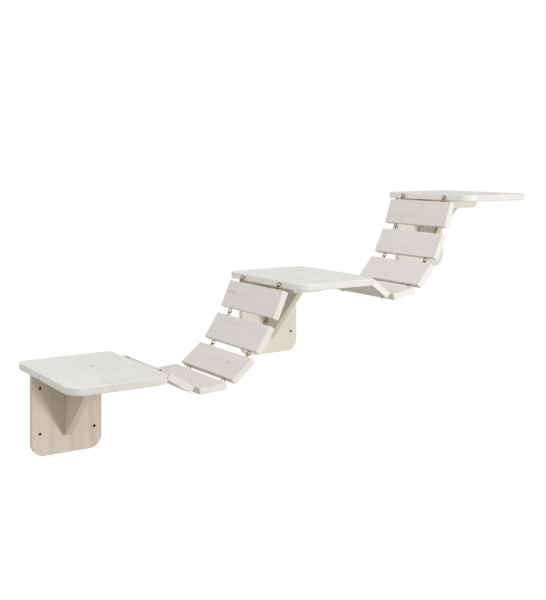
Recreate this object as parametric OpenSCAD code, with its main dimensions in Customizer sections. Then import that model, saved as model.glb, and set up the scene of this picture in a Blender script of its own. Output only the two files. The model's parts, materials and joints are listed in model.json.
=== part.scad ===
// Wall-mounted cat ladder: three shelves that step up a wall, joined by two hanging ladders of slats.
// X runs along the wall, Y goes into the wall, Z is up. The wall's face is the plane Y = 0.
// The origin is the middle of the low wall plate's four holes, on the wall's face.

/* [Shelves] */
// Width of a shelf along the wall
shelf_w = 208; // [180:1:260]
// Depth of a shelf, from the wall to its front edge
shelf_d = 300; // [280:1:360]
// Thickness of a shelf
shelf_t = 15; // [14:1:20]
// Radius of the two front corners of a shelf, seen from above
shelf_corner_r = 35; // [20:1:60]
// Radius of the two corners of a shelf at the wall
shelf_rear_r = 15; // [6:1:20]
// Radius of the sanded edges of a shelf
shelf_edge_r = 2; // [1:0.5:4]

/* [Layout on the wall] */
// Clear gap between the low shelf and the middle shelf
low_gap = 300; // [260:1:320]
// Rise from the low shelf to the middle shelf
low_rise = 154; // [120:1:180]
// Clear gap between the middle shelf and the top shelf
high_gap = 270; // [230:1:290]
// Rise from the middle shelf to the top shelf
high_rise = 177; // [140:1:200]

/* [Wall plates] */
// Width of a wall plate
plate_w = 154; // [144:1:176]
// Height of a wall plate below its shelf
plate_h = 186; // [170:1:230]
// Thickness of a wall plate
plate_t = 15; // [14:1:20]
// Radius of the two lower corners of a wall plate
plate_corner_r = 27; // [15:1:40]
// Radius of the sanded edges of a wall plate
plate_edge_r = 1; // [0.5:0.5:3]
// Diameter of the holes for the wall screws
wall_hole_d = 6; // [4:0.5:7]
// Distance between the holes along the wall
wall_hole_dx = 120; // [90:1:128]
// Distance between the two rows of holes
wall_hole_dz = 95; // [70:1:105]
// Drop from the shelf to the upper row of holes
wall_hole_drop = 44; // [30:1:55]

/* [Gussets and battens] */
// Reach of a gusset out from its wall plate
gusset_reach = 146; // [100:1:180]
// Drop of a gusset's rear edge below the shelf
gusset_drop = 148; // [120:1:160]
// Thickness of a gusset
gusset_t = 15; // [12:1:20]
// Height of a gusset's blunt front tip
gusset_tip = 10; // [6:1:20]
// Depth of a gusset's blunt lower toe
gusset_toe = 6; // [4:1:12]
// Length of a batten along its upper face
batten_l = 101; // [70:1:140]
// Height of a batten
batten_h = 22; // [18:1:28]
// Thickness of a batten, front to back
batten_t = 15; // [12:1:20]
// How far each slanted end of a batten leans in
batten_lean = 12; // [0:1:18]

/* [Ladder slats] */
// Length of a slat, out from the wall
slat_l = 220; // [190:1:260]
// Width of a slat along the ladder
slat_w = 62; // [57:1:72]
// Thickness of a slat
slat_t = 14; // [10:1:15]
// Radius of the sanded edges of a slat
slat_edge_r = 1.5; // [0.5:0.5:3]
// Gap between the wall and the near end of a slat
slat_wall_gap = 35; // [20:1:38]
// Distance from a slat's end to its screw eyes
eye_inset = 35; // [20:1:60]

/* [Screw eyes] */
// Radius of an eye's ring at the middle of its wire
eye_ring_r = 4.2; // [3.4:0.1:5]
// Thickness of an eye's wire
eye_wire_d = 2; // [1.6:0.1:2.3]
// Bare neck between the wood and an eye's ring
eye_neck = 0.8; // [0.5:0.1:3]
// Length of an eye's shank in the wood
eye_shank = 16; // [10:1:22]
// Gap where two linked eyes bear on each other
eye_gap = 0.3; // [0.2:0.05:0.5]
// Play that the lowest slat's eyes keep at rest, towards the shelf
eye_play = 1.5; // [0:0.1:1.8]

/* [Dowels and screws] */
// Diameter of a dowel
dowel_d = 8; // [6:1:8]
// Length of a dowel
dowel_l = 24; // [16:1:26]
// Distance between the two dowels of a wall plate
dowel_dx = 110; // [80:1:120]
// Diameter of a screw's shank
screw_d = 4; // [3:0.5:5]
// Length of a screw that holds a gusset to its wall plate
gusset_screw_l = 45; // [35:1:55]
// Drop from the shelf to the upper one of those screws
gusset_screw_drop = 32; // [26:1:40]
// Distance between the two screws of a gusset
gusset_screw_dz = 80; // [60:1:90]
// Length of a screw that holds a batten to its shelf
batten_screw_l = 32; // [28:1:34]
// Distance between the two screws of a batten
batten_screw_dx = 60; // [36:1:64]
// Gap round a dowel, a screw or a shank in its bore
fit = 0.1; // [0.05:0.05:0.2]

/* [Hidden] */
$fn = 48;
slats = 5;
under_z = wall_hole_drop + wall_hole_dz / 2;
top_z = under_z + shelf_t;
shelf_mid_z = under_z + shelf_t / 2;
mid_x = shelf_w + low_gap;
top_x = mid_x + shelf_w + high_gap;
platforms = [[0, 0, 0], [mid_x, 0, low_rise], [top_x, 0, low_rise + high_rise]];
screw_head_d = 2 * screw_d;
screw_head_h = screw_d;
screw_tip_l = 1.5 * screw_d;
batten_y = -plate_t - gusset_reach - batten_t / 2;
dowel_y = -plate_t / 2;
eye_ys = [-slat_wall_gap - eye_inset, -slat_wall_gap - slat_l + eye_inset];
slat_mid_y = -slat_wall_gap - slat_l / 2;
// Along an eye's axis, from the wood: its ring's middle, and the wire at its far end
ring_x = eye_neck + eye_wire_d / 2 + eye_ring_r;
far_x = ring_x + eye_ring_r;
// How far a cut runs past the wood's face
past = 1;
// How far from an upright ring's middle the flat ring's wire lies that bears on it
hang = eye_ring_r - eye_wire_d - eye_gap;
// From one pivot of a slat to the next. A pivot is the far wire of a flat ring.
link = far_x + slat_w + ring_x + hang;

// The slopes of a hanging row of equal slats grow by equal steps, like a chain's.
// shape is [slope of slat 1, step from slat to slat]. It starts from a guess and gets better by rounds.
first_sag = 1.2;
first_step = 0.6;
rounds_needed = 16;
function slope(shape, k) = shape[0] + shape[1] * (k - 1);
function total(values, i = 0) = i == len(values) ? 0 : values[i] + total(values, i + 1);
// Slat 1 starts at its own lower ring's middle, and the row ends at the middle of the shelf's ring
function arm(k) = k == 1 ? link - hang : link;
function reach(k) = k == slats ? arm(k) + hang : arm(k);
function run_of(shape) = total([for (k = [1 : slats]) reach(k) / sqrt(1 + slope(shape, k) ^ 2)]);
function rise_of(shape) =
    total([for (k = [1 : slats]) reach(k) * slope(shape, k) / sqrt(1 + slope(shape, k) ^ 2)]);
// How run and rise change with the first slope (power 0) and with the step (power 1)
function run_rate(shape, power) =
    -total([for (k = [1 : slats])
        reach(k) * slope(shape, k) * (k - 1) ^ power / (1 + slope(shape, k) ^ 2) ^ 1.5]);
function rise_rate(shape, power) =
    total([for (k = [1 : slats]) reach(k) * (k - 1) ^ power / (1 + slope(shape, k) ^ 2) ^ 1.5]);
function better(shape, run, rise) =
    let (a = run_rate(shape, 0), b = run_rate(shape, 1))
    let (c = rise_rate(shape, 0), d = rise_rate(shape, 1))
    let (e = run - run_of(shape), f = rise - rise_of(shape))
    let (whole = a * d - b * c)
    shape + [(d * e - b * f) / whole, (a * f - c * e) / whole];
function settled(shape, run, rise, rounds) =
    rounds <= 0 ? shape : settled(better(shape, run, rise), run, rise, rounds - 1);
function hanging(run, rise) = settled([rise / run - first_sag, first_step], run, rise, rounds_needed);

// A ladder is [its start, shape], from the shelf edge below it to the one above it
function ladder_start(lower) =
    [platforms[lower][0] + shelf_w / 2 + far_x - eye_play, platforms[lower][2] + shelf_mid_z];
function ladder_end(lower) =
    [platforms[lower + 1][0] - shelf_w / 2 - ring_x, platforms[lower + 1][2] + shelf_mid_z];
function ladder(lower) =
    let (start = ladder_start(lower), span = ladder_end(lower) - start)
    [start, hanging(span[0], span[1])];
ladders = [ladder(0), ladder(1)];

function tilt(which, k) = atan(slope(ladders[which][1], k));
// The upper pivot of slat k. The slat below it bears there.
function pivot(which, k) =
    k == 0 ? ladders[which][0]
    : pivot(which, k - 1) + arm(k) * [cos(tilt(which, k)), sin(tilt(which, k))];

module at_platform(i) {
    translate(platforms[i]) children();
}

// A flat outline with its four corners rounded, centred
module rounded_outline(w, h, r) {
    square([w - 2 * r, h], center = true);
    square([w, h - 2 * r], center = true);
    for (x = [-1, 1], y = [-1, 1]) translate([x * (w / 2 - r), y * (h / 2 - r)]) circle(r);
}

// A board with sanded edges: x by y by t, centred on its own middle plane
module board(x, y, t, edge) {
    rotate([90, 0, 0]) linear_extrude(height = y, center = true) rounded_outline(x, t, edge);
}

// The same with rounded corners seen from above: front_r towards -Y, and rear_r, which is no larger
module rounded_board(x, y, t, front_r, rear_r, edge) {
    translate([0, (front_r - rear_r) / 2, 0]) board(x, y - front_r - rear_r, t, edge);
    rotate([0, 0, 90]) board(y, x - 2 * front_r, t, edge);
    if (rear_r < front_r)
        translate([0, front_r / 2, 0]) rotate([0, 0, 90]) board(y - front_r, x - 2 * rear_r, t, edge);
    for (i = [-1, 1]) {
        translate([i * (x / 2 - front_r), -y / 2 + front_r, 0]) corner_post(t, front_r, edge);
        translate([i * (x / 2 - rear_r), y / 2 - rear_r, 0]) corner_post(t, rear_r, edge);
    }
}

module corner_post(t, r, edge) {
    rotate_extrude() intersection() {
        rounded_outline(2 * r, t, edge);
        translate([0, -t]) square([2 * r, 2 * t]);
    }
}

// A bore that starts at the origin and goes down
module bore(d, depth) {
    translate([0, 0, -depth]) cylinder(d = d + 2 * fit, h = depth + past);
}

// The cone that a screw's head sits in, from the origin down
module countersink() {
    translate([0, 0, -screw_head_h])
        cylinder(d1 = screw_d + 2 * fit, d2 = screw_head_d + 2 * fit, h = screw_head_h);
}

// Bores for a pair of eyes in an edge at x = 0, whose wood lies towards -X
module eye_bores() {
    for (y = eye_ys) translate([0, y, 0]) rotate([0, 90, 0]) bore(eye_wire_d, eye_shank + past);
}

module shelf(i) {
    color("#e6e6dc") at_platform(i) difference() {
        translate([0, -shelf_d / 2, shelf_mid_z])
            rounded_board(shelf_w, shelf_d, shelf_t, shelf_corner_r, shelf_rear_r, shelf_edge_r);
        for (x = [-1, 1] * dowel_dx / 2)
            translate([x, dowel_y, under_z]) mirror([0, 0, 1]) bore(dowel_d, dowel_l / 2);
        for (x = [-1, 1] * batten_screw_dx / 2) translate([x, batten_y, under_z])
            mirror([0, 0, 1]) bore(screw_d, batten_screw_l - batten_h + past);
        if (i < 2) translate([shelf_w / 2, 0, shelf_mid_z]) eye_bores();
        if (i > 0) translate([-shelf_w / 2, 0, shelf_mid_z]) mirror([1, 0, 0]) eye_bores();
    }
}

// A wall plate's board, cut square where its upper edge meets the shelf
module plate_board() {
    difference() {
        translate([0, -plate_t / 2, under_z - (plate_h - plate_corner_r) / 2]) rotate([90, 0, 0])
            rounded_board(
                plate_w, plate_h + plate_corner_r, plate_t, plate_corner_r, plate_corner_r, plate_edge_r);
        translate([-plate_w, -plate_t - past, under_z]) cube([2 * plate_w, plate_t + 2 * past, plate_h]);
    }
}

module wall_plate(i) {
    color("#cfc2b2") at_platform(i) difference() {
        plate_board();
        for (x = [-1, 1] * wall_hole_dx / 2, z = [-1, 1] * wall_hole_dz / 2)
            translate([x, past, z]) rotate([90, 0, 0]) cylinder(d = wall_hole_d, h = plate_t + 2 * past);
        for (x = [-1, 1] * dowel_dx / 2) translate([x, dowel_y, under_z]) bore(dowel_d, dowel_l / 2);
        at_gusset_screws() {
            bore(screw_d, plate_t + past);
            countersink();
        }
    }
}

// Both screws of a gusset start at the wall's face and point away from it
module at_gusset_screws() {
    for (drop = [gusset_screw_drop, gusset_screw_drop + gusset_screw_dz])
        translate([0, 0, under_z - drop]) rotate([-90, 0, 0]) children();
}

module gusset(i) {
    color("#c9bcaa") at_platform(i) difference() {
        translate([-gusset_t / 2, 0, under_z]) rotate([90, 0, 90]) linear_extrude(height = gusset_t) polygon([
            [-plate_t, 0], [-plate_t, -gusset_drop], [-plate_t - gusset_toe, -gusset_drop],
            [-plate_t - gusset_reach, -gusset_tip], [-plate_t - gusset_reach, 0]]);
        at_gusset_screws() bore(screw_d, gusset_screw_l + past);
    }
}

module batten(i) {
    color("#d6cabb") at_platform(i) difference() {
        translate([0, batten_y + batten_t / 2, under_z]) rotate([90, 0, 0])
            linear_extrude(height = batten_t) polygon([
                [-batten_l / 2, 0], [batten_l / 2, 0],
                [batten_l / 2 - batten_lean, -batten_h], [-batten_l / 2 + batten_lean, -batten_h]]);
        at_batten_screws() {
            bore(screw_d, batten_h + past);
            countersink();
        }
    }
}

// Both screws of a batten start at its lower face and point up
module at_batten_screws() {
    for (x = [-1, 1] * batten_screw_dx / 2)
        translate([x, batten_y, under_z - batten_h]) rotate([180, 0, 0]) children();
}

module dowels(i) {
    color("#d8bd8a") at_platform(i) for (x = [-1, 1] * dowel_dx / 2)
        translate([x, dowel_y, under_z - dowel_l / 2]) cylinder(d = dowel_d, h = dowel_l);
}

// A countersunk screw with its head's face at the origin, pointing down
module screw(length) {
    rotate_extrude() polygon([
        [0, 0], [screw_head_d / 2, 0], [screw_d / 2, -screw_head_h],
        [screw_d / 2, -length + screw_tip_l], [0, -length]]);
}

module gusset_screws(i) {
    color("#b8b8b4") at_platform(i) at_gusset_screws() screw(gusset_screw_l);
}

module batten_screws(i) {
    color("#b8b8b4") at_platform(i) at_batten_screws() screw(batten_screw_l);
}

// A screw eye whose shank enters the wood at the origin and whose ring stands out along +X.
// A flat ring lies in the XY plane, and its far wire is a pivot. An upright ring runs round one.
module screw_eye(flat) {
    translate([ring_x, 0, 0]) rotate([flat ? 0 : 90, 0, 0])
        rotate_extrude() translate([eye_ring_r, 0]) circle(d = eye_wire_d);
    translate([-eye_shank, 0, 0]) rotate([0, 90, 0])
        cylinder(d = eye_wire_d, h = eye_shank + eye_neck + eye_wire_d / 2);
}

module eye_pair(flat) {
    for (y = eye_ys) translate([0, y, 0]) screw_eye(flat);
}

module shelf_right_eyes(i) {
    color("#b08d4f") at_platform(i) translate([shelf_w / 2, 0, shelf_mid_z]) eye_pair(true);
}

module shelf_left_eyes(i) {
    color("#b08d4f") at_platform(i)
        translate([-shelf_w / 2, 0, shelf_mid_z]) mirror([1, 0, 0]) eye_pair(false);
}

// A slat's own frame: its upper pivot at the origin, +X up the ladder, +Z out of its upper face
module at_slat(which, k) {
    translate([pivot(which, k)[0], 0, pivot(which, k)[1]]) rotate([0, -tilt(which, k), 0]) children();
}

// What goes into a slat's edges: the first child into the upper one, the second into the lower one
module at_slat_edges() {
    translate([-far_x, 0, 0]) children(0);
    translate([-far_x - slat_w, 0, 0]) mirror([1, 0, 0]) children(1);
}

module slat(which, k) {
    color("#dcd8d0") at_slat(which, k) difference() {
        translate([-far_x - slat_w / 2, slat_mid_y, 0]) board(slat_w, slat_l, slat_t, slat_edge_r);
        at_slat_edges() {
            eye_bores();
            eye_bores();
        }
    }
}

module slat_eyes(which, k) {
    color("#b08d4f") at_slat(which, k) at_slat_edges() {
        eye_pair(true);
        eye_pair(false);
    }
}

shelf(0);  // shelf_low
shelf(1);  // shelf_mid
shelf(2);  // shelf_top
wall_plate(0);  // wall_plate_low
wall_plate(1);  // wall_plate_mid
wall_plate(2);  // wall_plate_top
gusset(0);  // gusset_low
gusset(1);  // gusset_mid
gusset(2);  // gusset_top
batten(0);  // batten_low
batten(1);  // batten_mid
batten(2);  // batten_top
dowels(0);  // dowels_low
dowels(1);  // dowels_mid
dowels(2);  // dowels_top
gusset_screws(0);  // gusset_screws_low
gusset_screws(1);  // gusset_screws_mid
gusset_screws(2);  // gusset_screws_top
batten_screws(0);  // batten_screws_low
batten_screws(1);  // batten_screws_mid
batten_screws(2);  // batten_screws_top
shelf_right_eyes(0);  // shelf_low_right_eyes
shelf_left_eyes(1);  // shelf_mid_left_eyes
shelf_right_eyes(1);  // shelf_mid_right_eyes
shelf_left_eyes(2);  // shelf_top_left_eyes
slat(0, 1);  // lower_slat_1
slat(0, 2);  // lower_slat_2
slat(0, 3);  // lower_slat_3
slat(0, 4);  // lower_slat_4
slat(0, 5);  // lower_slat_5
slat_eyes(0, 1);  // lower_eyes_1
slat_eyes(0, 2);  // lower_eyes_2
slat_eyes(0, 3);  // lower_eyes_3
slat_eyes(0, 4);  // lower_eyes_4
slat_eyes(0, 5);  // lower_eyes_5
slat(1, 1);  // upper_slat_1
slat(1, 2);  // upper_slat_2
slat(1, 3);  // upper_slat_3
slat(1, 4);  // upper_slat_4
slat(1, 5);  // upper_slat_5
slat_eyes(1, 1);  // upper_eyes_1
slat_eyes(1, 2);  // upper_eyes_2
slat_eyes(1, 3);  // upper_eyes_3
slat_eyes(1, 4);  // upper_eyes_4
slat_eyes(1, 5);  // upper_eyes_5
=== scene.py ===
import json
import math
import bmesh
import bpy
from mathutils import Euler, Matrix, Vector


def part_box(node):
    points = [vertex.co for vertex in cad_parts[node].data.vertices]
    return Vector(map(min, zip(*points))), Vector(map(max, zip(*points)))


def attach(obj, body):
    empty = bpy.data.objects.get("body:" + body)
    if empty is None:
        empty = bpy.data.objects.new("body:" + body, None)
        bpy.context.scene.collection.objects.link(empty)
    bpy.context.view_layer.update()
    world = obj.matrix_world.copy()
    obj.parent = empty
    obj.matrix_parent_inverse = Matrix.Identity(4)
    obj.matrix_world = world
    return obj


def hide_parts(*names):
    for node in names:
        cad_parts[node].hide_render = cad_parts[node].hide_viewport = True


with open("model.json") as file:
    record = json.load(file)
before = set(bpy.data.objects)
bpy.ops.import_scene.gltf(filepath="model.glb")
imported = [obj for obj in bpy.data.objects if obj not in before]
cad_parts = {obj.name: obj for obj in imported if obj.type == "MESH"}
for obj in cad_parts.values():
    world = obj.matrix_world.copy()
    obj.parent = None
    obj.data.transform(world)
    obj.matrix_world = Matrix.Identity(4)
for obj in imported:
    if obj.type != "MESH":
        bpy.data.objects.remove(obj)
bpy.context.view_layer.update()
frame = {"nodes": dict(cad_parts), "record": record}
print("cat ladder: frame loaded")

# all lengths are in metres, as in the frame
platforms = ("low", "mid", "top")
quarter = math.radians(90)


# Shader helpers: a value may be a number, a tuple or another node's socket

def paint(hexColour):
    parts = [int(hexColour[i:i + 2], 16) / 255 for i in (1, 3, 5)]
    linear = [c / 12.92 if c <= 0.04045 else ((c + 0.055) / 1.055) ** 2.4 for c in parts]
    return (*linear, 1.0)


def newNode(tree, kind, **settings):
    node = tree.nodes.new(kind)
    for key, value in settings.items():
        setattr(node, key, value)
    return node


def feed(tree, socket, value):
    if isinstance(value, bpy.types.NodeSocket):
        tree.links.new(value, socket)
    else:
        socket.default_value = value


def feedAll(tree, node, values):
    for key, value in values.items():
        feed(tree, node.inputs[key], value)
    return node.outputs


def maths(tree, operation, *values, clamp=False):
    node = newNode(tree, "ShaderNodeMath", operation=operation, use_clamp=clamp)
    for socket, value in zip(node.inputs, values):
        feed(tree, socket, value)
    return node.outputs[0]


def plus(tree, first, second):
    return maths(tree, "ADD", first, second)


def minus(tree, first, second):
    return maths(tree, "SUBTRACT", first, second)


def times(tree, first, second):
    return maths(tree, "MULTIPLY", first, second)


def larger(tree, first, second):
    return maths(tree, "MAXIMUM", first, second)


def bothWays(tree, value, reach):  # a value between 0 and 1 becomes a swing round zero
    return times(tree, minus(tree, value, 0.5), reach)


def vectorMaths(tree, operation, *values):
    node = newNode(tree, "ShaderNodeVectorMath", operation=operation)
    for socket, value in zip(node.inputs, values):
        feed(tree, socket, value)
    return node.outputs["Value" if operation == "LENGTH" else "Vector"]


def splitVector(tree, vector):
    return feedAll(tree, newNode(tree, "ShaderNodeSeparateXYZ"), {"Vector": vector})


def joinVector(tree, x, y, z):
    return feedAll(tree, newNode(tree, "ShaderNodeCombineXYZ"), {"X": x, "Y": y, "Z": z})[0]


def remap(tree, value, span, outSpan=(0.0, 1.0), kind="SMOOTHSTEP"):
    node = newNode(tree, "ShaderNodeMapRange", interpolation_type=kind)
    return feedAll(tree, node, {"Value": value, "From Min": span[0], "From Max": span[1],
                                "To Min": outSpan[0], "To Max": outSpan[1]})["Result"]


def noiseAt(tree, vector, scale, detail, roughness):
    node = newNode(tree, "ShaderNodeTexNoise")
    return feedAll(tree, node, {"Vector": vector, "Scale": scale, "Detail": detail,
                                "Roughness": roughness})["Fac"]


def drawnOut(tree, vector, stretch, roughness):  # noise with its own scale on each axis
    return noiseAt(tree, vectorMaths(tree, "MULTIPLY", vector, stretch), 1.0, 3.0, roughness)


def blendColour(tree, factor, first, second):
    node = newNode(tree, "ShaderNodeMix", data_type="RGBA", blend_type="MIX")
    # the colour sockets share their names with the number sockets, so they go by place
    return feedAll(tree, node, {"Factor": factor, 6: first, 7: second})[2]


def stain(tree, colour, mask, share, hexColour):
    return blendColour(tree, times(tree, mask, share), colour, paint(hexColour))


def startGroup(name, inputs, outputs):
    tree = bpy.data.node_groups.new(name, "ShaderNodeTree")
    for label, kind in inputs.items():
        tree.interface.new_socket(name=label, in_out="INPUT", socket_type="NodeSocket" + kind)
    for label, kind in outputs.items():
        tree.interface.new_socket(name=label, in_out="OUTPUT", socket_type="NodeSocket" + kind)
    return tree, newNode(tree, "NodeGroupInput").outputs, newNode(tree, "NodeGroupOutput").inputs


def useGroup(tree, group, values):
    return feedAll(tree, newNode(tree, "ShaderNodeGroup", node_tree=group), values)


# Pine grain as a solid texture: rings round a pith below each stave, so faces and end grain agree

pine = {
    "staveShift": (7.0, 5.0),  # how far apart in the wood two staves can be cut
    "wanderStretch": (22.0, 3.2, 22.0), "wanderRoughness": 0.55, "wander": 0.012,
    "fibreStretch": (1500.0, 22.0, 1500.0), "toneStretch": (60.0, 2.6, 60.0), "roughness": 0.6,
    "pithAcross": 0.11, "pithDepth": 0.022, "pithDeeper": 0.05, "lean": 0.07,
    "yearScale": 90.0, "yearShift": 40.0, "yearSwing": 2.6,  # some years grow wide rings, others narrow ones
    "lateSharpness": 3.0, "lateEnd": (0.93, 1.0),
    "glueLine": (0.0001, 0.0006),
}


def makePineGrain():
    tree, given, result = startGroup(
        "pineGrain",
        {"Board": "Vector", "Seed": "Float", "Stave": "Float", "Spacing": "Float", "Bulge": "Float"},
        {"Rings": "Float", "Fibre": "Float", "Tone": "Float", "Glue": "Float", "Stave Tone": "Float"})
    x, y, z = splitVector(tree, given["Board"])
    staveNumber = maths(tree, "ROUND", maths(tree, "DIVIDE", x, given["Stave"]))
    inStave = minus(tree, x, times(tree, staveNumber, given["Stave"]))
    dice = newNode(tree, "ShaderNodeTexWhiteNoise", noise_dimensions="3D")
    feed(tree, dice.inputs["Vector"], joinVector(tree, staveNumber, given["Seed"], 0.0))
    parts = newNode(tree, "ShaderNodeSeparateColor")
    first, second, third = feedAll(tree, parts, {"Color": dice.outputs["Color"]})
    # each stave reads its own stretch of wood
    shiftX, shiftY = pine["staveShift"]
    shift = joinVector(tree, times(tree, first, shiftX), times(tree, second, shiftY), given["Seed"])
    moved = vectorMaths(tree, "ADD", given["Board"], shift)

    sideways = minus(tree, inStave, bothWays(tree, first, pine["pithAcross"]))
    fromPith = minus(tree, z, maths(tree, "MULTIPLY_ADD", second, -pine["pithDeeper"], -pine["pithDepth"]))
    upwards = plus(tree, fromPith, times(tree, y, bothWays(tree, third, pine["lean"])))
    square = plus(tree, maths(tree, "POWER", sideways, 2.0), maths(tree, "POWER", upwards, 2.0))
    wander = drawnOut(tree, moved, pine["wanderStretch"], pine["wanderRoughness"])
    radius = plus(tree, maths(tree, "SQRT", square), bothWays(tree, wander, pine["wander"]))
    radius = plus(tree, radius, given["Bulge"])

    years = newNode(tree, "ShaderNodeTexNoise", noise_dimensions="1D")
    place = maths(tree, "MULTIPLY_ADD", radius, pine["yearScale"], times(tree, second, pine["yearShift"]))
    feedAll(tree, years, {"W": place, "Scale": 1.0, "Detail": 1.0})
    age = maths(tree, "MULTIPLY_ADD", years.outputs["Fac"], pine["yearSwing"],
                maths(tree, "DIVIDE", radius, given["Spacing"]))
    season = maths(tree, "FRACT", age)
    late = maths(tree, "POWER", season, pine["lateSharpness"])
    feed(tree, result["Rings"], times(tree, late, remap(tree, season, pine["lateEnd"], (1.0, 0.0))))

    feed(tree, result["Fibre"], drawnOut(tree, moved, pine["fibreStretch"], pine["roughness"]))
    feed(tree, result["Tone"], drawnOut(tree, moved, pine["toneStretch"], pine["roughness"]))
    fromJoint = minus(tree, times(tree, given["Stave"], 0.5), maths(tree, "ABSOLUTE", inStave))
    feed(tree, result["Glue"], remap(tree, fromJoint, pine["glueLine"], (1.0, 0.0)))
    feed(tree, result["Stave Tone"], third)
    return tree


# A knot is a short branch that points out of the face, and the rings flow round it.
# Spans are in knot radii from its middle.

branch = {
    "noise": (420.0, 2.0, 0.5), "noisePlace": (3.1, 1.7, 0.4), "ragged": 0.5,
    "heart": (0.75, 1.05), "rimStart": (0.6, 0.95), "rimEnd": (1.0, 1.5),
    "swell": (0.4, 4.5), "swellShare": 0.7,
}


def makeKnot():
    tree, given, result = startGroup(
        "knot",
        {"Board": "Vector", "Centre": "Vector", "Size": "Vector"},
        {"Knot": "Float", "Rim": "Float", "Bulge": "Float"})
    away = vectorMaths(tree, "SUBTRACT", given["Board"], given["Centre"])
    ragged = noiseAt(tree, vectorMaths(tree, "ADD", given["Board"], branch["noisePlace"]), *branch["noise"])
    reach = vectorMaths(tree, "LENGTH", vectorMaths(tree, "DIVIDE", away, given["Size"]))
    reach = plus(tree, reach, bothWays(tree, ragged, branch["ragged"]))
    feed(tree, result["Knot"], remap(tree, reach, branch["heart"], (1.0, 0.0)))
    rimEnd = remap(tree, reach, branch["rimEnd"], (1.0, 0.0))
    feed(tree, result["Rim"], times(tree, remap(tree, reach, branch["rimStart"]), rimEnd))
    width = splitVector(tree, given["Size"])["X"]
    swell = times(tree, width, branch["swellShare"])
    feed(tree, result["Bulge"], remap(tree, reach, branch["swell"], (swell, 0.0)))
    return tree


# Wear where two faces of a board meet, and the end grain, found from the board's half sizes

wear = {
    "noise": (95.0, 4.0, 0.65), "noisePlace": (1.3, 2.2, 5.1),
    "width": 0.0022, "widthSpan": (0.3, 0.7), "widthSwing": (0.4, 2.0), "patches": (0.35, 0.62),
    "endDepth": (0.0002, 0.0012),
}


def makeEdgeRub():
    tree, given, result = startGroup(
        "edgeRub",
        {"Board": "Vector", "Half": "Vector", "Width": "Float"},
        {"Rub": "Float", "End": "Float"})
    depth = vectorMaths(tree, "SUBTRACT", given["Half"], vectorMaths(tree, "ABSOLUTE", given["Board"]))
    depths = splitVector(tree, depth)
    patchy = noiseAt(tree, vectorMaths(tree, "ADD", given["Board"], wear["noisePlace"]), *wear["noise"])
    swing = remap(tree, patchy, wear["widthSpan"], wear["widthSwing"], "LINEAR")
    width = times(tree, given["Width"], swing)
    nearX, nearY, nearZ = [remap(tree, d, (0.0, width), (1.0, 0.0)) for d in depths]
    edges = larger(tree, times(tree, nearX, nearY), times(tree, nearY, nearZ))
    edges = larger(tree, edges, times(tree, nearX, nearZ))
    feed(tree, result["Rub"], times(tree, edges, remap(tree, patchy, wear["patches"])))
    feed(tree, result["End"], remap(tree, depths["Y"], wear["endDepth"], (1.0, 0.0)))
    return tree


# The four wall holes: painted shade inside them and on a thin rim on the face, over the brown of bare pine

holeShadeOverBareWood = {"rim": (0.00002, 0.00035), "colour": "#4c2d10", "share": 0.98}


def makeDrilled():
    tree, given, result = startGroup(
        "drilled", {"Board": "Vector", "Spread": "Vector", "Radius": "Float"}, {"Hole": "Float"})
    off = vectorMaths(tree, "SUBTRACT", vectorMaths(tree, "ABSOLUTE", given["Board"]), given["Spread"])
    fromMiddle = vectorMaths(tree, "LENGTH", vectorMaths(tree, "MULTIPLY", off, (1.0, 1.0, 0.0)))
    inner, outer = [plus(tree, given["Radius"], rim) for rim in holeShadeOverBareWood["rim"]]
    feed(tree, result["Hole"], remap(tree, fromMiddle, (inner, outer), (1.0, 0.0)))
    return tree


# Thin white wash over pine: thinner on the hard late wood, on knots and where hands and paws rub

coat = {
    "lateTone": (0.35, 0.75), "lateShare": 0.45,
    "knotColour": "#8a6647", "knotShare": 0.75, "rimColour": "#5f4632", "rimShare": 0.7,
    "cloud": (17.0, 4.0, 0.6), "cloudPlace": (0.7, 4.2, 1.9),
    "middle": (0.3, 0.7), "swing": (-0.05, 0.05),
    "offRings": 0.06, "offRub": 0.16, "bands": (0.42, 0.68),
    "glueColour": "#a89c88", "glueShare": 0.22,
    "poreColour": "#97907f", "pores": (0.30, 0.42), "poreShare": 0.08,
    "roughFibre": (0.2, 0.8), "rough": (0.54, 0.70), "ringShine": -0.08, "cloudRough": (-0.04, 0.05),
    "fibreHeight": 0.5, "ringHeight": 0.55, "knotHeight": 0.5, "glueDepth": 0.5,
}


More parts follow.
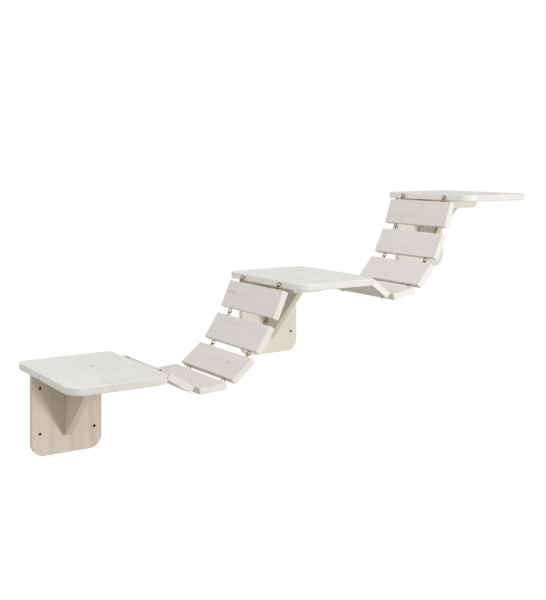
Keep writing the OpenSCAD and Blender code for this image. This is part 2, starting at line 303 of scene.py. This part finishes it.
def makeWhiteWash():
    masks = ("Rings", "Fibre", "Tone", "Stave Tone", "Glue", "Knot", "Bare", "Rim", "Rub", "Wash", "Banding")
    colours = ("Wash Colour", "Early Wood", "Late Wood")
    tree, given, result = startGroup(
        "whiteWash",
        {"Board": "Vector", **{label: "Float" for label in masks}, **{label: "Color" for label in colours}},
        {"Colour": "Color", "Roughness": "Float", "Height": "Float"})
    rings, fibre, tone = given["Rings"], given["Fibre"], given["Tone"]
    wood = blendColour(tree, rings, given["Early Wood"], given["Late Wood"])
    darker = remap(tree, tone, coat["lateTone"], (0.0, coat["lateShare"]))
    wood = blendColour(tree, darker, wood, given["Late Wood"])
    wood = stain(tree, wood, given["Knot"], coat["knotShare"], coat["knotColour"])
    wood = stain(tree, wood, given["Rim"], coat["rimShare"], coat["rimColour"])

    cloud = noiseAt(tree, vectorMaths(tree, "ADD", given["Board"], coat["cloudPlace"]), *coat["cloud"])
    cover = plus(tree, given["Wash"], remap(tree, cloud, coat["middle"], coat["swing"], "LINEAR"))
    bands = remap(tree, tone, coat["bands"], (0.0, given["Banding"]))
    offRings, offRub = times(tree, rings, coat["offRings"]), times(tree, given["Rub"], coat["offRub"])
    for lost in (offRings, bands, given["Bare"], offRub):
        cover = minus(tree, cover, lost)
    cover = plus(tree, cover, remap(tree, given["Stave Tone"], (0.0, 1.0), coat["swing"], "LINEAR"))
    cover = maths(tree, "ADD", cover, remap(tree, fibre, coat["middle"], coat["swing"], "LINEAR"), clamp=True)
    colour = blendColour(tree, cover, wood, given["Wash Colour"])
    colour = stain(tree, colour, given["Glue"], coat["glueShare"], coat["glueColour"])
    pore = remap(tree, fibre, coat["pores"], (coat["poreShare"], 0.0))
    feed(tree, result["Colour"], blendColour(tree, pore, colour, paint(coat["poreColour"])))

    rough = remap(tree, fibre, coat["roughFibre"], coat["rough"], "LINEAR")
    rough = plus(tree, rough, times(tree, rings, coat["ringShine"]))
    cloudRough = remap(tree, cloud, coat["middle"], coat["cloudRough"], "LINEAR")
    feed(tree, result["Roughness"], plus(tree, rough, cloudRough))
    height = plus(tree, times(tree, fibre, coat["fibreHeight"]), times(tree, rings, coat["ringHeight"]))
    height = plus(tree, height, times(tree, given["Knot"], coat["knotHeight"]))
    feed(tree, result["Height"], minus(tree, height, times(tree, given["Glue"], coat["glueDepth"])))
    return tree


# Brass or zinc plating that dulls in patches

plating = {
    "patches": (260.0, 4.0, 0.65), "patchSpan": (0.38, 0.66),
    "fine": (2400.0, 3.0, 0.6), "specks": (0.5, 0.75), "speckShare": 0.25,
    "fineSpan": (0.3, 0.7), "rough": (0.24, 0.36), "dullRough": 0.2,
}


def makeTarnish():
    tree, given, result = startGroup(
        "tarnish",
        {"Place": "Vector", "Clean": "Color", "Dull": "Color", "Amount": "Float"},
        {"Colour": "Color", "Roughness": "Float", "Height": "Float"})
    patches = noiseAt(tree, given["Place"], *plating["patches"])
    fine = noiseAt(tree, given["Place"], *plating["fine"])
    dull = times(tree, remap(tree, patches, plating["patchSpan"]), given["Amount"])
    colour = blendColour(tree, dull, given["Clean"], given["Dull"])
    specks = remap(tree, fine, plating["specks"], (0.0, plating["speckShare"]))
    feed(tree, result["Colour"], blendColour(tree, specks, colour, given["Dull"]))
    rough = remap(tree, fine, plating["fineSpan"], plating["rough"], "LINEAR")
    feed(tree, result["Roughness"], plus(tree, rough, times(tree, dull, plating["dullRough"])))
    feed(tree, result["Height"], fine)
    return tree


pineGrain = makePineGrain()
knot = makeKnot()
edgeRub = makeEdgeRub()
drilled = makeDrilled()
whiteWash = makeWhiteWash()
tarnish = makeTarnish()
print("cat ladder: shader groups made")


# Materials

wholeBoard = 0.5  # a stave wider than any piece, for pieces cut from one board
slatWood = {
    "wash": 0.92, "washColour": "#dddbd7", "early": "#d9cebd", "late": "#b4a48e",
    "stave": wholeBoard, "spacing": 0.0085, "banding": 0.07, "end": ("#fbf9f5", 0.31)}
finishes = {
    "shelf": {
        "wash": 0.92, "washColour": "#ecede9", "early": "#d6c9b2", "late": "#a58d70",
        "stave": 0.052, "spacing": 0.0080, "banding": 0.07, "end": ("#aaa490", 0.14)},
    "slatLower": slatWood,
    "slatUpper": {**slatWood, "washColour": "#e2e0dc"},
    "plate": {
        "wash": 0.77, "washColour": "#e4dcd3", "early": "#d8c8b1", "late": "#b3967a",
        "stave": wholeBoard, "spacing": 0.0090, "banding": 0.17},
    "brace": {
        "wash": 0.72, "washColour": "#ded7ca", "early": "#d3c3ac", "late": "#b3997c",
        "stave": wholeBoard, "spacing": 0.0080, "banding": 0.12},
    # painted light: whiter copies of the plate and brace wood, for the more brightly lit mid and top
    # platforms
    "platePaintedLight": {
        "wash": 0.88, "washColour": "#eae7e1", "early": "#dfd3c3", "late": "#c3ad93",
        "stave": wholeBoard, "spacing": 0.0090, "banding": 0.11},
    "bracePaintedLight": {
        "wash": 0.80, "washColour": "#e0dbd2", "early": "#d9ccb9", "late": "#bfa98f",
        "stave": wholeBoard, "spacing": 0.0080, "banding": 0.09},
    "dowel": {
        "wash": 0.05, "washColour": "#dfd5c9", "early": "#dcc093", "late": "#b98f5c",
        "stave": wholeBoard, "spacing": 0.003, "banding": 0.07},
}
woodSurface = {"bump": 0.55, "bumpHeight": 0.00022, "specular": 0.35, "endRings": -0.5}
metalSurface = {"bump": 0.2, "bumpHeight": 0.00003}

# how a board lies: the turn of its own axes, X across, Y along the grain, Z out of the face
lying = (0.0, 0.0, 0.0)
upright = (quarter, 0.0, 0.0)  # flat on the wall, grain up
standingOut = (quarter, 0.0, quarter)  # on edge, out from the wall, grain up
crosswise = (quarter, quarter, 0.0)  # on edge, along the wall

# the record has whole spacings in mm; here they are half spacings in metres
wallHoles = {}
for mount in frame["record"]["mounts"]:
    if mount["kind"] == "bolt_pattern":
        size = mount["dims"]
        wallHoles[mount["name"]] = {
            "middle": mount["pos_m"],
            "spread": (size["spacing_x_mm"] / 2000, size["spacing_y_mm"] / 2000, 0.0),
            "radius": size["hole_r_mm"] / 1000}


def boardPlace(node, turn):  # middle in the frame, and half sizes along the board's own axes
    own = Euler(turn).to_matrix()
    points = [own.transposed() @ v.co for v in frame["nodes"][node].data.vertices]
    low, high = [Vector([pick(p[axis] for p in points) for axis in range(3)]) for pick in (min, max)]
    return own @ ((low + high) / 2), (high - low) / 2


def startMaterial(name):
    material = bpy.data.materials.new(name)
    material.use_nodes = True
    tree = material.node_tree
    return material, tree, tree.nodes["Principled BSDF"]


def finishMaterial(tree, shader, colour, surface, look):
    bump = newNode(tree, "ShaderNodeBump")
    feedAll(tree, bump, {
        "Strength": look["bump"], "Distance": look["bumpHeight"], "Height": surface["Height"]})
    feedAll(tree, shader, {
        "Base Color": colour, "Roughness": surface["Roughness"], "Normal": bump.outputs["Normal"]})


def boardMaterial(name, finish, node, turn, seed, knots=(), holes=None):
    material, tree, shader = startMaterial(name)
    look = finishes[finish]
    middle, half = boardPlace(node, turn)
    own = newNode(tree, "ShaderNodeMapping", vector_type="TEXTURE")
    objectPlace = newNode(tree, "ShaderNodeTexCoord").outputs["Object"]
    board = feedAll(tree, own, {"Vector": objectPlace, "Location": middle, "Rotation": turn})[0]
    knotMask, rimMask, bareMask, bulge = 0.0, 0.0, 0.0, 0.0
    for centre, size, bare in knots:
        spot = useGroup(tree, knot, {"Board": board, "Centre": centre, "Size": size})
        knotMask = larger(tree, knotMask, spot["Knot"])
        rimMask = larger(tree, rimMask, spot["Rim"])
        bareMask = larger(tree, bareMask, times(tree, spot["Knot"], bare))
        bulge = plus(tree, bulge, spot["Bulge"])
    grain = useGroup(tree, pineGrain, {
        "Board": board, "Seed": seed, "Stave": look["stave"], "Spacing": look["spacing"], "Bulge": bulge})
    rub = useGroup(tree, edgeRub, {"Board": board, "Half": half, "Width": wear["width"]})
    # rings show half as strongly on the end grain
    ringShare = maths(tree, "MULTIPLY_ADD", rub["End"], woodSurface["endRings"], 1.0)
    wash = useGroup(tree, whiteWash, {
        "Board": board, "Rings": times(tree, grain["Rings"], ringShare), "Fibre": grain["Fibre"],
        "Tone": grain["Tone"], "Stave Tone": grain["Stave Tone"], "Glue": grain["Glue"], "Knot": knotMask,
        "Rim": rimMask, "Bare": bareMask, "Rub": rub["Rub"], "Wash": look["wash"], "Banding": look["banding"],
        "Wash Colour": paint(look["washColour"]), "Early Wood": paint(look["early"]),
        "Late Wood": paint(look["late"])})
    colour = wash["Colour"]
    # end grain: a little darker on the shelves, whiter on the slats
    if "end" in look:
        endColour, share = look["end"]
        colour = stain(tree, colour, rub["End"], share, endColour)
    if holes:
        shift = Euler(turn).to_matrix().transposed() @ (middle - Vector(holes["middle"]))
        fromHoles = vectorMaths(tree, "ADD", board, shift)
        hole = useGroup(tree, drilled, {
            "Board": fromHoles, "Spread": holes["spread"], "Radius": holes["radius"]})
        # painted shade in the wall holes and on a thin rim round them, over bare-pine brown
        colour = stain(tree, colour, hole["Hole"], holeShadeOverBareWood["share"], holeShadeOverBareWood["colour"])
    finishMaterial(tree, shader, colour, wash, woodSurface)
    shader.inputs["Specular IOR Level"].default_value = woodSurface["specular"]
    return material


def metalMaterial(name, clean, dull, amount):
    material, tree, shader = startMaterial(name)
    plated = useGroup(tree, tarnish, {
        "Place": newNode(tree, "ShaderNodeTexCoord").outputs["Object"],
        "Clean": paint(clean), "Dull": paint(dull), "Amount": amount})
    finishMaterial(tree, shader, plated["Colour"], plated, metalSurface)
    shader.inputs["Metallic"].default_value = 1.0
    return material


def dress(node, material):
    mesh = frame["nodes"][node].data
    mesh.materials.clear()
    mesh.materials.append(material)


# Shelves, wall plates and dowels

seeds = {
    "shelf": 3.7, "platformStep": 11.3, "plateAfterShelf": 2.1, "dowelsAfterShelf": 4.4,
    "slat": 1.9, "slatStep": 7.3, "upperLadder": 50.0,
    "gusset": 8.2, "gussetStep": 9.1, "battenAfterGusset": 3.0,
}
# the mid and top platforms' wall plates and braces use whiter copies of the wood: painted light for the
# stronger light those higher platforms catch
wallSide = {
    "low": ("plate", "brace"),
    "mid": ("platePaintedLight", "bracePaintedLight"),
    "top": ("platePaintedLight", "bracePaintedLight"),
}
# knots, and a long narrow one for a dark streak in the grain:
# middle and half sizes on the board's own axes, and the share of the wash that is missing
shelfKnots = {
    "low": [((0.0066, 0.0220, 0.0075), (0.0055, 0.0070, 0.02), 0.20),
            ((-0.104, 0.0215, -0.002), (0.012, 0.0065, 0.0042), 0.16),
            ((-0.0220, -0.1250, 0.0075), (0.0013, 0.0280, 0.004), 0.34)],
    "mid": [((0.0610, 0.0900, -0.0075), (0.0050, 0.0065, 0.006), 0.12)],
    "top": [((0.0300, 0.0600, 0.0075), (0.0050, 0.0070, 0.02), 0.12)],
}
for number, name in enumerate(platforms):
    seed = seeds["shelf"] + seeds["platformStep"] * number
    shelf, plate, dowels = "shelf_" + name, "wall_plate_" + name, "dowels_" + name
    dress(shelf, boardMaterial("shelfWood" + name.title(), "shelf", shelf, lying, seed, shelfKnots[name]))
    dress(plate, boardMaterial("plateWood" + name.title(), wallSide[name][0], plate, upright,
                               seed + seeds["plateAfterShelf"], holes=wallHoles[name + "_wall_holes"]))
    dress(dowels, boardMaterial("dowelWood" + name.title(), "dowel", dowels, upright,
                                seed + seeds["dowelsAfterShelf"]))
print("cat ladder: shelves and plates dressed")


# Slats

slatKnots = {
    ("lower", 3): [((0.0040, -0.0460, 0.007), (0.0040, 0.0060, 0.014), 0.18)],
    ("lower", 4): [((0.0170, 0.0360, 0.007), (0.0008, 0.0310, 0.003), 0.16)],
    ("lower", 5): [((0.0024, 0.0530, 0.007), (0.0011, 0.0500, 0.003), 0.18),
                   ((0.0040, 0.0900, 0.007), (0.0030, 0.0170, 0.003), 0.14)],
    ("upper", 1): [((0.0195, -0.0160, -0.007), (0.0030, 0.0040, 0.003), 0.90)],
    ("upper", 4): [((-0.0090, 0.0300, 0.007), (0.0010, 0.0400, 0.003), 0.12)],
}
slats = [(side, k) for side in ("lower", "upper") for k in range(1, 6)]


def slopeOf(node):  # a slat's broad faces are its largest triangles
    face = max(frame["nodes"][node].data.polygons, key=lambda polygon: polygon.area)
    up = face.normal if face.normal.z > 0 else -face.normal
    return math.atan2(-up.x, up.z)


slatSlopes = {}
for side, k in slats:
    node = f"{side}_slat_{k}"
    slatSlopes[side, k] = slopeOf(node)
    seed = seeds["slat"] + seeds["slatStep"] * k + (seeds["upperLadder"] if side == "upper" else 0.0)
    dress(node, boardMaterial(f"slatWood{side.title()}{k}", "slat" + side.title(), node,
                              (0.0, -slatSlopes[side, k], 0.0), seed, slatKnots.get((side, k), ())))
print("cat ladder: slats dressed")


# Gussets and battens: copies of the CAD solids with their sharp edges eased

brace = {
    "ease": 0.0009, "segments": 3, "clearOfScrews": 0.036,
    "flatWithin": math.radians(0.6), "sharpFrom": math.radians(25), "smoothUpTo": math.radians(35),
    "weld": 1e-6, "touch": 1e-5,
}


def touching(place, face):
    return abs(place - face) < brace["touch"]


def gussetEdge(edge, low, high):  # the two side faces' outlines, but not along the wall plate
    onSides = all(touching(v.co.x, low.x) or touching(v.co.x, high.x) for v in edge.verts)
    return onSides and not all(touching(v.co.y, high.y) for v in edge.verts)


def battenEdge(edge, low, high):  # front and back outlines, and the ends underneath, clear of the screws
    onSides = all(touching(v.co.y, low.y) or touching(v.co.y, high.y) for v in edge.verts)
    underneath = all(touching(v.co.z, low.z) for v in edge.verts)
    fromMiddle = max(abs(v.co.x - (low.x + high.x) / 2) for v in edge.verts)
    return onSides or (underneath and fromMiddle > brace["clearOfScrews"])


def addPiece(name, work, material, smoothUpTo):
    mesh = bpy.data.meshes.new(name)
    work.to_mesh(mesh)
    work.free()
    mesh.materials.append(material)
    for polygon in mesh.polygons:
        polygon.use_smooth = True
    mesh.set_sharp_from_angle(angle=smoothUpTo)
    piece = bpy.data.objects.new(name, mesh)
    bpy.context.scene.collection.objects.link(piece)
    return piece


def easedCopy(node, isEased, material):
    low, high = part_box(node)
    work = bmesh.new()
    work.from_mesh(frame["nodes"][node].data)
    bmesh.ops.remove_doubles(work, verts=work.verts, dist=brace["weld"])
    bmesh.ops.dissolve_limit(work, angle_limit=brace["flatWithin"], verts=work.verts, edges=work.edges)
    sharp = [e for e in work.edges if len(e.link_faces) == 2 and e.calc_face_angle(0) > brace["sharpFrom"]
             and isEased(e, low, high)]
    bmesh.ops.bevel(work, geom=sharp, offset=brace["ease"], offset_type="OFFSET", segments=brace["segments"],
                    profile=0.5, affect="EDGES", clamp_overlap=True, material=-1)
    bmesh.ops.triangulate(work, faces=work.faces)
    return addPiece(node + "_eased", work, material, brace["smoothUpTo"])


for number, name in enumerate(platforms):
    seed = seeds["gusset"] + seeds["gussetStep"] * number
    wood = boardMaterial("gussetWood" + name.title(), wallSide[name][1], "gusset_" + name, standingOut, seed)
    piece = easedCopy("gusset_" + name, gussetEdge, wood)
    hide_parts("gusset_" + name)
    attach(piece, "wall_set")
    wood = boardMaterial("battenWood" + name.title(), wallSide[name][1], "batten_" + name, crosswise,
                         seed + seeds["battenAfterGusset"])
    piece = easedCopy("batten_" + name, battenEdge, wood)
    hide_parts("batten_" + name)
    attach(piece, "wall_set")
print("cat ladder: braces eased")


# Turned pieces: a ring of edges is drawn along an axis, through stations of place and radius

turnedSmoothUpTo = math.radians(50)


def split(geom):
    verts = [part for part in geom if isinstance(part, bmesh.types.BMVert)]
    edges = [part for part in geom if isinstance(part, bmesh.types.BMEdge)]
    return verts, edges


def threadStations(start, stop, piece):  # ridges from start down to the last whole one before stop
    stations = []
    at = start
    while at - piece["pitch"] > stop:
        rootStart, rootEnd = [at - piece["pitch"] * share for share in piece["rootSpan"]]
        at -= piece["pitch"]
        stations += [(rootStart, piece["root"]), (rootEnd, piece["root"]), (at, piece["crest"])]
    return stations + [(at - piece["runOut"], piece["root"])]


def drawShank(work, rim, stations, axis, radius):
    loop, at = rim, 0.0
    for place, wide in stations:
        verts, loop = split(bmesh.ops.extrude_edge_only(work, edges=loop)["geom"])
        bmesh.ops.translate(work, verts=verts, vec=Vector(axis) * (place - at))
        bmesh.ops.scale(work, verts=verts, vec=[1 if part else wide / radius for part in axis])
        at, radius = place, wide
    bmesh.ops.contextual_create(work, geom=loop)


def joined(name, placed, material):
    work = bmesh.new()
    for mesh, matrix in placed:
        part = mesh.copy()
        part.transform(matrix)
        work.from_mesh(part)
        bpy.data.meshes.remove(part)
    return addPiece(name, work, material, turnedSmoothUpTo)


# Screw eyes: one bent wire each, with a threaded shank

eye = {
    "crest": 0.0010, "root": 0.00072, "pitch": 0.0011, "rootSpan": (0.35, 0.65), "runOut": 0.0004,
    "neck": 0.0012, "shank": 0.016, "taper": 0.0018, "tip": 0.00006, "tipShort": 0.00005,
    "ring": 0.0042, "ringMiddle": 0.0060, "bend": 0.0012, "closeAt": math.radians(155),
    "sides": 14, "ringSteps": 40, "bendSteps": 8, "weld": 1e-7,
    "spread": 0.075,  # from the middle of a board's edge to each of its two rows
}


def makeEye(isFlat):
    work = bmesh.new()
    wire = eye["crest"]
    start = bmesh.ops.create_circle(work, segments=eye["sides"], radius=wire, cap_ends=False)["verts"]
    bmesh.ops.rotate(work, verts=start, cent=(0, 0, 0), matrix=Matrix.Rotation(quarter, 3, "Y"))
    rim = list(work.edges)
    # back along the shank: plain neck, then ridges down to a point
    ridges = threadStations(-eye["neck"], eye["taper"] - eye["shank"], eye)
    point = (eye["tipShort"] - eye["shank"], eye["tip"])
    drawShank(work, rim, [(-eye["neck"], wire), *ridges, point], (1, 0, 0), wire)
    # forwards: a short straight, the bend to one side, then round the ring
    bend, ring, middle = eye["bend"], eye["ring"], eye["ringMiddle"]
    straight = middle - math.sqrt(2 * bend * ring + ring * ring)
    swing = math.atan2(middle - straight, bend)
    verts, loop = split(bmesh.ops.extrude_edge_only(work, edges=rim)["geom"])
    bmesh.ops.translate(work, verts=verts, vec=(straight, 0, 0))
    around = quarter + swing + eye["closeAt"]
    for cent, axis, angle, steps in (((straight, 0, bend), (0, -1, 0), swing, eye["bendSteps"]),
                                     ((middle, 0, 0), (0, 1, 0), around, eye["ringSteps"])):
        turned = bmesh.ops.spin(work, geom=verts + loop, cent=cent, axis=axis, dvec=(0, 0, 0), angle=angle,
                                steps=steps, use_merge=False, use_duplicate=False)
        verts, loop = split(turned["geom_last"])
    bmesh.ops.contextual_create(work, geom=loop)
    bmesh.ops.remove_doubles(work, verts=work.verts, dist=eye["weld"])
    bmesh.ops.recalc_face_normals(work, faces=work.faces)
    if isFlat:
        bmesh.ops.rotate(work, verts=work.verts, cent=(0, 0, 0), matrix=Matrix.Rotation(quarter, 3, "X"))
    mesh = bpy.data.meshes.new("screwEye")
    work.to_mesh(mesh)
    work.free()
    return mesh


flatEye, uprightEye = makeEye(True), makeEye(False)
brass = metalMaterial("eyeBrass", "#94774a", "#43321c", 0.9)


def middleOf(node):
    low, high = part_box(node)
    return (low + high) / 2


def eyesAt(edge, middleY, slope, pointing, mesh):
    turn = Matrix.Rotation(-slope, 4, "Y")
    flip = Matrix.Rotation(2 * quarter, 4, "Z") if pointing < 0 else Matrix.Identity(4)
    rows = (middleY + eye["spread"], middleY - eye["spread"])
    return [(mesh, Matrix.Translation((edge.x, y, edge.z)) @ turn @ flip) for y in rows]


shelfEyes = {
    "shelf_low_right_eyes": ("shelf_low", 1, flatEye),
    "shelf_mid_right_eyes": ("shelf_mid", 1, flatEye),
    "shelf_mid_left_eyes": ("shelf_mid", -1, uprightEye),
    "shelf_top_left_eyes": ("shelf_top", -1, uprightEye),
}
for node, (shelf, pointing, mesh) in shelfEyes.items():
    low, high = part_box(shelf)
    edge = Vector((high.x if pointing > 0 else low.x, 0, (low.z + high.z) / 2))
    piece = joined(node + "_wire", eyesAt(edge, middleOf(node).y, 0.0, pointing, mesh), brass)
    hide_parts(node)
    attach(piece, "wall_set")
for side, k in slats:
    slope = slatSlopes[side, k]
    middle, half = boardPlace(f"{side}_slat_{k}", (0.0, -slope, 0.0))
    along = Vector((math.cos(slope), 0, math.sin(slope))) * half.x
    placed = (eyesAt(middle + along, middle.y, slope, 1, flatEye)
              + eyesAt(middle - along, middle.y, slope, -1, uprightEye))
    piece = joined(f"{side}_eyes_{k}_wire", placed, brass)
    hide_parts(f"{side}_eyes_{k}")
    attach(piece, f"{side}_link_{k}")
print("cat ladder: screw eyes bent")


# Countersunk screws with a cross recess and a ridged shank

screw = {
    "crest": 0.002, "root": 0.0014, "pitch": 0.0016, "rootSpan": (0.3, 0.72), "runOut": 0.0004,
    "head": 0.004, "headRim": 0.0002, "plainShare": 0.4, "taper": 0.006, "sides": 24,
    "tip": 0.0001, "tipShort": 0.0001,
    "slotWidth": 0.00055, "slotReach": 0.0021,  # both from the middle
    "slotDepth": 0.0017, "slotTaper": 0.62,
    "faceUp": 0.99, "onFace": 1e-6, "weld": 1e-7,
    "long": 0.045, "short": 0.032,
    "drops": (0.032, 0.112),  # the two gusset screws, down from the shelf's underside
    "battenSpread": 0.03,
}


def makeScrew(length):
    work = bmesh.new()
    head, shank = screw["head"], screw["crest"]
    bmesh.ops.create_circle(work, segments=screw["sides"], radius=head, cap_ends=False)
    rim = list(work.edges)
    plainEnd = -length * screw["plainShare"]
    neck = [(-screw["headRim"], head), (-shank * 2, shank), (plainEnd, shank)]
    ridges = threadStations(plainEnd, screw["taper"] - length, screw)
    point = (screw["tipShort"] - length, screw["tip"])
    drawShank(work, rim, [*neck, *ridges, point], (0, 0, 1), head)
    bmesh.ops.contextual_create(work, geom=rim)
    # the recess: cut the head's face along the slots, push the cross in and taper it
    wide, reach = screw["slotWidth"], screw["slotReach"]
    for distance in (wide, reach):
        for normal in ((1, 0, 0), (0, 1, 0)):
            for offset in (distance, -distance):
                flat = [f for f in work.faces if abs(f.normal.z) > screw["faceUp"]
                        and abs(f.calc_center_median().z) < screw["onFace"]]
                edges = dict.fromkeys(e for f in flat for e in f.edges)
                verts = dict.fromkeys(v for f in flat for v in f.verts)
                bmesh.ops.bisect_plane(work, geom=[*flat, *edges, *verts], dist=screw["weld"],
                                       plane_co=Vector(normal) * offset, plane_no=normal)
    work.normal_update()
    cross = []
    for face in work.faces:
        x, y, z = [abs(part) for part in face.calc_center_median()]
        if z < screw["onFace"] and ((x < wide and y < reach) or (y < wide and x < reach)):
            cross.append(face)
    verts = split(bmesh.ops.extrude_face_region(work, geom=cross)["geom"])[0]
    bmesh.ops.delete(work, geom=cross, context="FACES")
    bmesh.ops.translate(work, verts=verts, vec=(0, 0, -screw["slotDepth"]))
    bmesh.ops.scale(work, verts=verts, vec=(screw["slotTaper"], screw["slotTaper"], 1))
    bmesh.ops.remove_doubles(work, verts=work.verts, dist=screw["weld"])
    bmesh.ops.recalc_face_normals(work, faces=work.faces)
    mesh = bpy.data.meshes.new("screw")
    work.to_mesh(mesh)
    work.free()
    return mesh


zinc = metalMaterial("screwZinc", "#c9cacb", "#8b8b85", 0.6)
longScrew, shortScrew = makeScrew(screw["long"]), makeScrew(screw["short"])
fromWall = Matrix.Rotation(-quarter, 4, "X")
fromBelow = Matrix.Rotation(2 * quarter, 4, "X")
for name in platforms:
    x = middleOf("shelf_" + name).x
    shelfUnder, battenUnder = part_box("shelf_" + name)[0].z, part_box("batten_" + name)[0].z
    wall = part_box("wall_plate_" + name)[1].y
    placed = [(longScrew, Matrix.Translation((x, wall, shelfUnder - drop)) @ fromWall)
              for drop in screw["drops"]]
    piece = joined("gusset_screws_" + name + "_turned", placed, zinc)
    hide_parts("gusset_screws_" + name)
    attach(piece, "wall_set")
    batten = middleOf("batten_" + name)
    placed = [(shortScrew, Matrix.Translation((x + aside, batten.y, battenUnder)) @ fromBelow)
              for aside in (-screw["battenSpread"], screw["battenSpread"])]
    piece = joined("batten_screws_" + name + "_turned", placed, zinc)
    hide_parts("batten_screws_" + name)
    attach(piece, "wall_set")
for mesh in (flatEye, uprightEye, longScrew, shortScrew):
    bpy.data.meshes.remove(mesh)
print("cat ladder: screws turned")


# Studio

studio = {
    "floorHeight": -1.0, "floorMiddle": 0.5, "floorReach": 6.0,
    "floorColour": "#c4bdad", "floorRoughness": 0.8, "floorGlow": 0.74,
    "air": 0.07, "airFromLeft": 0.62, "airFromAbove": 0.50,
    "aim": (0.49, -0.15, 0.17),
    "keyAway": 2.6, "keyHeading": math.radians(19), "keyRise": 0.07, "keySize": 0.6, "keyPower": 38.5,
    "topOffset": (-0.95, -0.3, 2.15), "topSize": 2.0, "topPower": 22.5,
}
photoView = {
    "lens": 59.24, "sensor": 36.0, "shift": -0.2383,
    "place": (-0.7728, -1.9965, 0.5280), "heading": -0.577,
}


def seenDirectly(tree):
    path = newNode(tree, "ShaderNodeLightPath").outputs
    mirrored = larger(tree, path["Is Glossy Ray"], path["Is Transmission Ray"])
    return larger(tree, path["Is Camera Ray"], mirrored)


def makeFloor():
    work = bmesh.new()
    bmesh.ops.create_grid(work, x_segments=1, y_segments=1, size=studio["floorReach"])
    bmesh.ops.translate(work, verts=work.verts, vec=(studio["floorMiddle"], 0, studio["floorHeight"]))
    mesh = bpy.data.meshes.new("floor")
    work.to_mesh(mesh)
    work.free()
    floor = bpy.data.objects.new("floor", mesh)
    bpy.context.scene.collection.objects.link(floor)
    material, tree, shader = startMaterial("floorPaper")
    feedAll(tree, shader, {
        "Base Color": paint(studio["floorColour"]), "Roughness": studio["floorRoughness"],
        "Emission Color": (1, 1, 1, 1),
        "Emission Strength": times(tree, seenDirectly(tree), studio["floorGlow"])})
    mesh.materials.append(material)


def makeWorld():
    world = bpy.data.worlds.new("studioAir")
    bpy.context.scene.world = world
    world.use_nodes = True
    tree = world.node_tree
    tree.nodes.clear()
    direction = splitVector(tree, newNode(tree, "ShaderNodeTexCoord").outputs["Generated"])
    left = larger(tree, times(tree, direction["X"], -studio["airFromLeft"]), 0.0)
    above = larger(tree, times(tree, direction["Z"], studio["airFromAbove"]), 0.0)
    light = plus(tree, plus(tree, left, above), studio["air"])
    air = newNode(tree, "ShaderNodeBackground")
    feedAll(tree, air, {"Color": (1, 1, 1, 1), "Strength": larger(tree, light, seenDirectly(tree))})
    feedAll(tree, newNode(tree, "ShaderNodeOutputWorld"), {"Surface": air.outputs[0]})


def softbox(name, place, size, power):
    lamp = bpy.data.lights.new(name, "AREA")
    lamp.shape = "SQUARE"
    lamp.size = size
    lamp.energy = power
    holder = bpy.data.objects.new(name, lamp)
    holder.location = place
    holder.rotation_euler = (Vector(studio["aim"]) - place).to_track_quat("-Z", "Y").to_euler()
    bpy.context.scene.collection.objects.link(holder)


makeFloor()
makeWorld()
aim, heading = Vector(studio["aim"]), studio["keyHeading"]
keyPlace = aim + studio["keyAway"] * Vector((math.sin(heading), -math.cos(heading), studio["keyRise"]))
softbox("keySoftbox", keyPlace, studio["keySize"], studio["keyPower"])
softbox("topSoftbox", aim + Vector(studio["topOffset"]), studio["topSize"], studio["topPower"])

camera = bpy.data.cameras.new("photoCamera")
camera.lens = photoView["lens"]
camera.sensor_width = photoView["sensor"]
camera.shift_y = photoView["shift"]
holder = bpy.data.objects.new("photoCamera", camera)
holder.location = photoView["place"]
holder.rotation_euler = (quarter, 0.0, photoView["heading"])
bpy.context.scene.collection.objects.link(holder)
bpy.context.scene.camera = holder
bpy.context.scene.view_settings.view_transform = "Standard"
print("cat ladder: studio set")
